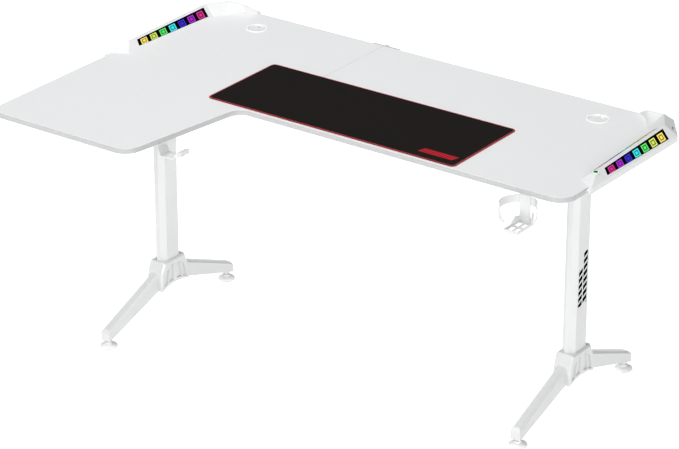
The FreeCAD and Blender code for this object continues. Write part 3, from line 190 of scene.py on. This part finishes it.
def laminate():
    """The desk top: a fine woven pattern above, a smooth band round the edge coloured far darker than the top
    as painted shade on the side faces, plain board below.
    """
    paint = Paint("desk_laminate", WHITE, 0.4, Coat_Weight=0.12, Coat_Roughness=0.25)
    height, on_top = twill(paint, 2.6 * MM)
    up = paint.axes(paint.facing)[2]
    nearly_level = 0.75
    above = paint.maths("GREATER_THAN", up, nearly_level)
    below = paint.maths("LESS_THAN", up, -nearly_level)
    woven = paint.blend(on_top, shade(WHITE, 0.945), shade(WHITE, 0.975))
    clouds = paint.spread(paint.noise(6.0, 3.0), 0.0, 1.0)
    woven = paint.blend(paint.both(clouds, 0.05), woven, shade(WHITE, 0.8))
    # painted shade: the edge band on the side faces gets a colour much darker than the top
    band = paint.blend(paint.noise(55.0, 2.0), shade(WHITE, 0.53), shade(WHITE, 0.60))
    board = paint.blend(paint.noise(900.0, 2.0), shade(WHITE, 0.86), shade(WHITE, 0.93))
    colour = paint.blend(above, band, woven)
    colour = paint.blend(below, colour, board)
    rough = paint.spread(paint.noise(14.0, 4.0), 0.36, 0.46)
    rough = paint.maths("SUBTRACT", rough, paint.both(on_top, 0.05))
    normal = paint.bump(paint.both(height, above), 0.05 * MM)
    normal = paint.bump(paint.noise(1800.0, 2.0), 0.012 * MM, normal)
    return paint.use(Base_Color=colour, Roughness=rough, Normal=normal)


def powder_coat(name, stripes=None):
    """White powder coat: fine orange peel, slightly uneven gloss, a little dirt low down."""
    colour = (0.60, 0.603, 0.606)
    paint = Paint(name, colour, 0.35, Coat_Weight=0.35, Coat_Roughness=0.18)
    _, _, z = paint.axes()
    clouds = paint.noise(9.0, 4.0)
    tone = paint.blend(clouds, shade(colour, 0.97), shade(colour, 1.03))
    dirt_reach, dirt_share = 60 * MM, 0.12
    low = paint.node("MapRange", "Result", Value=z, From_Min=0.0, From_Max=dirt_reach,
                     To_Min=dirt_share, To_Max=0.0)
    tone = paint.blend(paint.both(low, paint.noise(180.0, 4.0)), tone, (0.42, 0.40, 0.37))
    if stripes is not None:
        printed = stripes(paint)
        tone = paint.blend(printed, tone, (0.004, 0.004, 0.0045))
        bare = paint.maths("SUBTRACT", 1.0, printed)
        paint.use(Coat_Weight=paint.both(bare, 0.35), Specular_IOR_Level=paint.both(bare, 0.5))
    rough = paint.spread(paint.noise(40.0, 3.0), 0.30, 0.44)
    normal = paint.bump(paint.noise(650.0, 2.0), 0.03 * MM)
    normal = paint.bump(paint.noise(2600.0, 1.0), 0.008 * MM, normal)
    return paint.use(Base_Color=tone, Roughness=rough, Normal=normal)


def post_stripes(paint):
    """Slanting printed bars in two columns on the outer face of the right post."""
    low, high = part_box("post_right")
    hub_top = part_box("hub_right")[1].z
    _, y, z = paint.axes()
    outward = paint.maths("GREATER_THAN", paint.axes(paint.facing)[0], 0.9)
    middle = (low.y + high.y) / 2
    foot = hub_top + 132 * MM
    pitch, slope, inked = 19 * MM, 0.5, 0.68
    slant = paint.maths("DIVIDE", paint.maths("SUBTRACT", z, paint.both(y, slope)), pitch)
    bars = paint.maths("LESS_THAN", paint.maths("FRACT", slant), inked)
    short_column, tall_column = (-21, -3, 0, 110), (1, 20, 4, 156)
    columns = None
    for left, right, start, end in (short_column, tall_column):
        column = paint.both(paint.between(y, middle + left * MM, middle + right * MM),
                            paint.between(z, foot + start * MM, foot + end * MM))
        columns = column if columns is None else paint.maths("MAXIMUM", columns, column)
    return paint.both(paint.both(bars, columns), outward)


def moulded(name, colour, roughness, grain=0.012):
    """Injection-moulded plastic with a fine spark-eroded grain."""
    paint = Paint(name, colour, roughness, Specular_IOR_Level=0.45)
    tone = paint.blend(paint.noise(12.0, 3.0), shade(colour, 0.965), shade(colour, 1.02))
    rough = paint.spread(paint.noise(60.0, 3.0), roughness - 0.05, roughness + 0.06)
    normal = paint.bump(paint.noise(2200.0, 3.0, 0.6), grain * MM)
    return paint.use(Base_Color=tone, Roughness=rough, Normal=normal)


def lens_edges(node):
    """Front and rear ends of a lens: for each, its y and its lowest and highest z."""
    points = [vertex.co for vertex in NODES[node].data.vertices]
    low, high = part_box(node)
    end_long = 14 * MM
    ends = []
    for y, near in ((low.y, lambda p: p.y < low.y + end_long), (high.y, lambda p: p.y > high.y - end_long)):
        heights = [point.z for point in points if near(point)]
        ends.append((y, min(heights), max(heights)))
    return ends


def lamp_lens(node, colours):
    """Black lens with one lit mark, a square in a square frame, for each colour from front to rear."""
    (front, foot_front, head_front), (rear, foot_rear, head_rear) = lens_edges(node)
    long = rear - front
    paint = Paint("lamp_" + node, (0.001, 0.001, 0.0012), 0.3, Specular_IOR_Level=0.0)
    _, y, z = paint.axes()
    share = paint.maths("DIVIDE", paint.maths("SUBTRACT", y, front), long)
    foot = paint.maths("MULTIPLY_ADD", share, foot_rear - foot_front, foot_front)
    head = paint.maths("MULTIPLY_ADD", share, head_rear - head_front, head_front)
    rise = paint.maths("DIVIDE", paint.maths("SUBTRACT", z, foot), paint.maths("SUBTRACT", head, foot))
    upright_share = paint.maths("MULTIPLY_ADD", rise, -lean_share(long), share)
    margin = 0.015
    row = paint.node("MapRange", "Result", Value=upright_share, From_Min=margin,
                     From_Max=1 - margin - lean_share(long))
    cells = paint.both(row, float(len(colours)))
    across = paint.maths("ABSOLUTE", paint.maths("SUBTRACT", paint.maths("FRACT", cells), 0.5))
    upwards = paint.maths("ABSOLUTE", paint.maths("SUBTRACT", rise, 0.5))
    size = paint.maths("MAXIMUM", across, upwards)
    frame_outside, frame_inside, square, haze_share = 0.33, 0.22, 0.13, 0.22
    outline = paint.between(size, frame_inside, frame_outside)
    centre = paint.maths("LESS_THAN", size, square)
    lit = paint.maths("MAXIMUM", outline, centre)
    haze = paint.both(paint.maths("LESS_THAN", size, frame_outside), haze_share)
    lit = paint.maths("MAXIMUM", lit, haze)
    stops = [(index / len(colours), colour) for index, colour in enumerate(colours)]
    glow = paint.ramp(row, stops)
    paint.shader.inputs["Emission Strength"].default_value = 1.1
    dark = paint.blend(lit, (0.0, 0.0, 0.0), glow)
    rough = paint.spread(paint.noise(90.0, 3.0), 0.2, 0.3)
    return paint.use(Emission_Color=dark, Roughness=rough)


def lean_share(long):
    """How far a lens's ends lean, from foot to head, as a share of its length."""
    return 9.6 * MM / long


def mat_cloth(low, high):
    """Black knitted cloth, painted darker in the hollows of the knit as painted shade, with a plain printed
    row of red bars near one corner.
    """
    paint = Paint("mat_cloth", (0.012, 0.011, 0.0108), 0.9, Specular_IOR_Level=0.06)
    x, y, _ = paint.axes()
    rib_pitch, loop_pitch = 0.9 * MM, 0.7 * MM
    ribs = paint.maths("SINE", paint.both(x, 2 * math.pi / rib_pitch))
    loops = paint.maths("SINE", paint.both(y, 2 * math.pi / loop_pitch))
    knit = paint.spread(paint.both(ribs, loops), 0.0, 1.0)
    # painted shade: the hollows of the knit, low in the bump below, are painted darker
    tone = paint.blend(knit, (0.008, 0.0066, 0.0062), (0.017, 0.0142, 0.0134))
    lint = paint.maths("GREATER_THAN", paint.noise(420.0, 5.0, 0.7), 0.74)
    tone = paint.blend(paint.both(lint, 0.3), tone, (0.07, 0.066, 0.065))
    right, front = high.x - 28 * MM, low.y + 31 * MM
    mark_long, mark_deep = 105 * MM, 25 * MM
    bar_pitch, slope, inked = 9.0 * MM, 0.3, 0.62
    lean = paint.both(paint.maths("SUBTRACT", y, front), slope)
    along = paint.maths("SUBTRACT", x, lean)
    bars = paint.maths("LESS_THAN", paint.maths("FRACT", paint.maths("DIVIDE", along, bar_pitch)), inked)
    mark = paint.both(paint.between(along, right - mark_long, right),
                      paint.between(y, front, front + mark_deep))
    tone = paint.blend(paint.both(mark, bars), tone, (0.55, 0.018, 0.03))
    normal = paint.bump(knit, 0.12 * MM)
    normal = paint.bump(paint.noise(60.0, 3.0), 0.25 * MM, normal)
    return paint.use(Base_Color=tone, Normal=normal)


def thread(name, colour):
    """Twisted polyester thread, painted darker in the grooves between its plies as painted shade."""
    paint = Paint(name, colour, 0.55, Sheen_Weight=0.3)
    x, y, z = paint.axes()
    ply_pitch = 0.5 * MM
    across = paint.maths("ADD", paint.maths("ADD", x, y), z)
    twist = paint.maths("SINE", paint.both(across, 2 * math.pi / ply_pitch))
    # painted shade: the grooves between the plies, low in the bump below, are painted darker
    tone = paint.blend(paint.spread(twist, 0.3, 1.0), shade(colour, 0.6), colour)
    return paint.use(Base_Color=tone, Normal=paint.bump(twist, 0.05 * MM))


def bare_steel():
    """Bright zinc-plated steel, slightly mottled."""
    paint = Paint("zinc_steel", (0.62, 0.62, 0.63), 0.35, Metallic=1.0)
    tone = paint.blend(paint.noise(300.0, 3.0), (0.52, 0.53, 0.55), (0.70, 0.70, 0.70))
    rough = paint.spread(paint.noise(900.0, 2.0), 0.25, 0.5)
    return paint.use(Base_Color=tone, Roughness=rough)


def circuit_board():
    """Green solder mask with faint copper lanes."""
    paint = Paint("board", (0.02, 0.16, 0.06), 0.3)
    x = paint.axes()[0]
    lane_pitch, lane_share = 1.6 * MM, 0.25
    lanes = paint.maths("LESS_THAN", paint.maths("FRACT", paint.maths("DIVIDE", x, lane_pitch)), lane_share)
    tone = paint.blend(lanes, (0.015, 0.12, 0.045), (0.04, 0.22, 0.08))
    return paint.use(Base_Color=tone)


def foot_plastic():
    """White nylon foot with a grey rubber sole."""
    paint = Paint("foot_plastic", (0.77, 0.77, 0.77), 0.4)
    _, _, z = paint.axes()
    sole_high = 1.7 * MM
    sole = paint.maths("LESS_THAN", z, sole_high)
    tone = paint.blend(paint.noise(30.0, 3.0), (0.74, 0.74, 0.745), (0.80, 0.80, 0.80))
    tone = paint.blend(sole, tone, (0.16, 0.16, 0.165))
    normal = paint.bump(paint.noise(1500.0, 2.0), 0.01 * MM)
    return paint.use(Base_Color=tone, Normal=normal)


def glowing(name, colour, strength):
    """A light pipe: frosted plastic that glows, a little unevenly."""
    paint = Paint(name, shade(colour, 0.5), 0.4)
    paint.shader.inputs["Emission Strength"].default_value = strength
    tone = paint.blend(paint.noise(500.0, 2.0), shade(colour, 0.8), colour)
    return paint.use(Emission_Color=tone)


# ---------------------------------------------------------------- mesh helpers

def mesh_piece(name, points, faces, material, smooth=True):
    """A new object in the scene, from its points and faces."""
    mesh = bpy.data.meshes.new(name)
    mesh.from_pydata([tuple(point) for point in points], [], faces)
    mesh.materials.append(material)
    mesh.polygons.foreach_set("use_smooth", [smooth] * len(mesh.polygons))
    mesh.update()
    piece = bpy.data.objects.new(name, mesh)
    bpy.context.scene.collection.objects.link(piece)
    return piece


def round_rectangle(low, high, radius, inset, step):
    """Points round a rectangle with round corners, anticlockwise from its lower right corner."""
    x0, y0, x1, y1 = low.x + inset, low.y + inset, high.x - inset, high.y - inset
    corner_steps, tightest = 8, 0.5 * MM
    turn = max(radius - inset, tightest)
    centres = ((x1 - turn, y0 + turn), (x1 - turn, y1 - turn), (x0 + turn, y1 - turn), (x0 + turn, y0 + turn))
    points = []
    for corner, (cx, cy) in enumerate(centres):
        for part in range(corner_steps + 1):
            angle = math.pi / 2 * (corner - 1 + part / corner_steps)
            points.append(Vector((cx + turn * math.cos(angle), cy + turn * math.sin(angle), 0)))
        after = centres[(corner + 1) % 4]
        start = points[-1]
        angle = math.pi / 2 * corner
        end = Vector((after[0] + turn * math.cos(angle), after[1] + turn * math.sin(angle), 0))
        count = round((end - start).length / step)
        points += [start.lerp(end, part / count) for part in range(1, count)]
    return points


def tube(name, path, radius, sides, material):
    """A thread along a closed path: rings of points carried along without twisting."""
    points, faces = [], []
    count = len(path)
    side = None
    for index, middle in enumerate(path):
        way = (path[(index + 1) % count] - path[index - 1]).normalized()
        if side is None:
            side = way.orthogonal().normalized()
        side = (side - way * side.dot(way)).normalized()
        other = way.cross(side)
        for step in range(sides):
            angle = 2 * math.pi * step / sides
            points.append(middle + side * (radius * math.cos(angle)) + other * (radius * math.sin(angle)))
    for index in range(count):
        here, there = index * sides, (index + 1) % count * sides
        for step in range(sides):
            beside = (step + 1) % sides
            faces.append((here + step, here + beside, there + beside, there + step))
    return mesh_piece(name, points, faces, material)


# ---------------------------------------------------------------- the mat

MAT_CORNER = 14 * MM


def desk_mat():
    """The mat: a cloth-faced sheet, pressed thin under the stitches round its edge."""
    low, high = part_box("desk_mat")
    thick = high.z - low.z
    point_step = 6 * MM
    # the edge from its underside to its top: (millimetres in from the side, share of the thickness)
    profile = ((3.0, 0.0), (0.9, 0.0), (0.3, 0.3), (0.3, 0.55), (0.9, 0.80), (2.0, 0.80), (3.6, 0.84),
               (4.6, 0.98), (7.0, 1.0))
    rings = []
    for inset, rise in profile:
        ring = round_rectangle(low, high, MAT_CORNER, inset * MM, point_step)
        rings.append([Vector((point.x, point.y, low.z + rise * thick)) for point in ring])
    count = len(rings[0])
    points = [point for ring in rings for point in ring]
    faces = [tuple(reversed(range(count)))]
    for level in range(len(rings) - 1):
        for index in range(count):
            after = (index + 1) % count
            here, there = level * count, (level + 1) * count
            faces.append((here + index, here + after, there + after, there + index))
    faces.append(tuple(range((len(rings) - 1) * count, len(rings) * count)))
    mat = mesh_piece("mat_sheet", points, faces, mat_cloth(low, high))
    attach(mat, "mat")
    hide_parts("desk_mat")
    return mat


def edge_stitches():
    """The overlock stitches: one thread wound over the mat's edge and a chain along its inner side."""
    low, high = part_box("desk_mat")
    red = thread("red_thread", (0.62, 0.016, 0.03))
    pitch, steps, sides, point_step = 2.3 * MM, 10, 5, 2 * MM
    half_wide, half_tall = 1.62 * MM, 1.25 * MM
    line = round_rectangle(low, high, MAT_CORNER, 1.75 * MM, point_step)
    spots = evenly(line, pitch / steps)
    middle_z = low.z + 0.42 * (high.z - low.z)
    wound = []
    for index, (spot, outward) in enumerate(spots):
        angle = 2 * math.pi * index / steps
        wide = half_wide * math.cos(angle)
        tall = half_tall * math.sin(angle)
        wound.append(spot + outward * wide + Vector((0, 0, middle_z + tall)))
    binding = tube("mat_edge_thread", wound, 0.42 * MM, sides, red)
    chain_steps, chain_sway, chain_sunk = 6, 0.28 * MM, 0.35 * MM
    inner = round_rectangle(low, high, MAT_CORNER, 3.5 * MM, point_step)
    chain = []
    for index, (spot, outward) in enumerate(evenly(inner, pitch / chain_steps)):
        sway = chain_sway * math.sin(2 * math.pi * index / chain_steps)
        chain.append(spot + outward * sway + Vector((0, 0, high.z - chain_sunk)))
    locking = tube("mat_edge_chain", chain, 0.4 * MM, sides, red)
    for piece in (binding, locking):
        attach(piece, "mat")
    return [binding, locking]


def evenly(line, step):
    """Points a step apart round a closed line, each with the direction that faces outward."""
    spots = []
    left_over = 0.0
    count = len(line)
    for index in range(count):
        start, end = line[index], line[(index + 1) % count]
        run = end - start
        outward = Vector((run.y, -run.x, 0)).normalized()
        done = left_over
        while done < run.length:
            spots.append((start + run * (done / run.length), outward))
            done += step
        left_over = done - run.length
    return spots


# ---------------------------------------------------------------- small pieces

def glow_ring():
    """The lit ring round the push button, set on its bezel."""
    low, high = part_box("light_button")
    middle = (low + high) / 2
    radius, below_button, steps = 7.35 * MM, 1.3 * MM, 48
    path = []
    for step in range(steps):
        angle = 2 * math.pi * step / steps
        path.append(Vector((middle.x + radius * math.cos(angle), middle.y + radius * math.sin(angle),
                            high.z - below_button)))
    ring = tube("button_glow_ring", path, 0.75 * MM, 10, glowing("green_glow", (0.42, 1.0, 0.45), 0.95))
    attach(ring, "root")


def weld_beads():
    """Rippled weld beads where each post meets the plate on its top."""
    steel = powder_coat("weld_paint")
    half_x, half_y, cut = 20 * MM, 40 * MM, 14 * MM
    corners = [(half_x, cut - half_y), (half_x, half_y - cut), (half_x - cut, half_y), (cut - half_x, half_y),
               (-half_x, half_y - cut), (-half_x, cut - half_y), (cut - half_x, -half_y),
               (half_x - cut, -half_y)]
    point_step, proud, ripple_high, ripple_turn = 1.2 * MM, 0.6 * MM, 0.35 * MM, 1.9
    for side in SIDES:
        hub_low, hub_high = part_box("hub_" + side)
        centre = (hub_low + hub_high) / 2
        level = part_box("post_" + side)[1].z - 5.6 * MM
        line = [Vector((centre.x + x, centre.y + y, 0)) for x, y in corners]
        path = []
        for index, (spot, outward) in enumerate(evenly(line, point_step)):
            ripple = ripple_high * math.sin(index * ripple_turn)
            path.append(spot + outward * (proud + ripple) + Vector((0, 0, level)))
        bead = tube("weld_top_" + side, path, 2.0 * MM, 8, steel)
        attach(bead, "root")


# ---------------------------------------------------------------- paint the frame

def paint_nodes():
    """Give every CAD node its material."""
    white = powder_coat("white_powder_coat")
    shell = moulded("white_shell", (0.66, 0.663, 0.666), 0.36)
    liner = moulded("grommet_plastic", (0.80, 0.804, 0.808), 0.34)
    cap = moulded("grommet_cap_plastic", (0.66, 0.664, 0.668), 0.42)
    black = moulded("black_plastic", (0.012, 0.012, 0.013), 0.32)
    zinc = bare_steel()
    board = circuit_board()
    foot = foot_plastic()
    top = laminate()
    plan = {}
    for name in NODES:
        if name.startswith("desk_top"):
            plan[name] = top
        elif name.startswith("light_wing"):
            plan[name] = shell
        elif name.startswith("grommet_liner"):
            plan[name] = liner
        elif name.startswith("grommet_cap"):
            plan[name] = cap
        elif name in ("light_button", "power_inlet", "desk_mat"):
            plan[name] = black
        elif name.endswith(("screws", "bolts")):
            plan[name] = zinc
        elif "board" in name:
            plan[name] = board
        elif name.startswith("foot_") and "beam" not in name:
            plan[name] = foot
        else:
            plan[name] = white
    plan["post_right"] = powder_coat("striped_powder_coat", post_stripes)
    warm_first = [(0.91, 0.72, 0.14), (0.62, 0.76, 0.12), (0.10, 0.75, 0.14), (0.045, 0.76, 0.82),
                  (0.04, 0.03, 0.58), (0.36, 0.03, 0.58), (0.62, 0.035, 0.26)]
    for side, colours in (("left", warm_first), ("right", warm_first[::-1])):
        for face in ("inner", "outer"):
            node = f"lens_{face}_{side}"
            plan[node] = lamp_lens(node, colours)
    for name, material in plan.items():
        mesh = NODES[name].data
        mesh.materials.clear()
        mesh.materials.append(material)


# ---------------------------------------------------------------- surroundings

def floor():
    """A plain pale floor."""
    paint = Paint("pale_floor", (0.8, 0.8, 0.8), 0.9, Specular_IOR_Level=0.1)
    half = 25.0
    corners = [(-half, -half, 0), (half, -half, 0), (half, half, 0), (-half, half, 0)]
    ground = mesh_piece("floor", corners, [(0, 1, 2, 3)], paint.material, smooth=False)
    paint.shader.inputs["Emission Color"].default_value = (1, 1, 1, 1)
    paint.shader.inputs["Emission Strength"].default_value = 0.5


def area_light(name, place, target, width, power):
    """A square panel light that faces its target."""
    lamp = bpy.data.lights.new(name, "AREA")
    lamp.shape = "SQUARE"
    lamp.size = width
    lamp.energy = power
    light = bpy.data.objects.new(name, lamp)
    light.location = place
    light.rotation_mode = "QUATERNION"
    light.rotation_quaternion = (Vector(target) - Vector(place)).to_track_quat("-Z", "Y")
    bpy.context.scene.collection.objects.link(light)


def lights():
    """Soft studio light: a bright room and three big panels, overhead, beside the camera and in front."""
    world = bpy.data.worlds.new("studio")
    world.use_nodes = True
    world.node_tree.nodes["Background"].inputs["Color"].default_value = (0.98, 0.99, 1.0, 1)
    world.node_tree.nodes["Background"].inputs["Strength"].default_value = 0.15
    bpy.context.scene.world = world
    middle = (cad_low + cad_high) / 2
    area_light("overhead_panel", middle + Vector((-0.5, 0.8, 4.0)), middle, 4.5, 112.0)
    area_light("side_panel", middle + Vector((11.2, -11.2, 5.8)), middle, 6.4, 1900.0)
    area_light("front_panel", middle + Vector((-3.5, -7.0, 8.0)), middle, 5.0, 620.0)
    bpy.context.scene.view_settings.view_transform = "Standard"


def camera():
    """A long lens, looking down at the desk's front right corner."""
    place = Vector((4.3733, -6.0532, 3.8715))
    looking = Vector((-0.53223, 0.73582, -0.41869))
    made = bpy.data.cameras.new("camera")
    made.sensor_width = 36.0
    made.lens = 161.3
    eye = bpy.data.objects.new("camera", made)
    eye.location = place
    eye.rotation_mode = "QUATERNION"
    eye.rotation_quaternion = looking.to_track_quat("-Z", "Y")
    bpy.context.scene.collection.objects.link(eye)
    bpy.context.scene.camera = eye


paint_nodes()
mat = desk_mat()
stitches = edge_stitches()
glow_ring()
weld_beads()
floor()
lights()
camera()
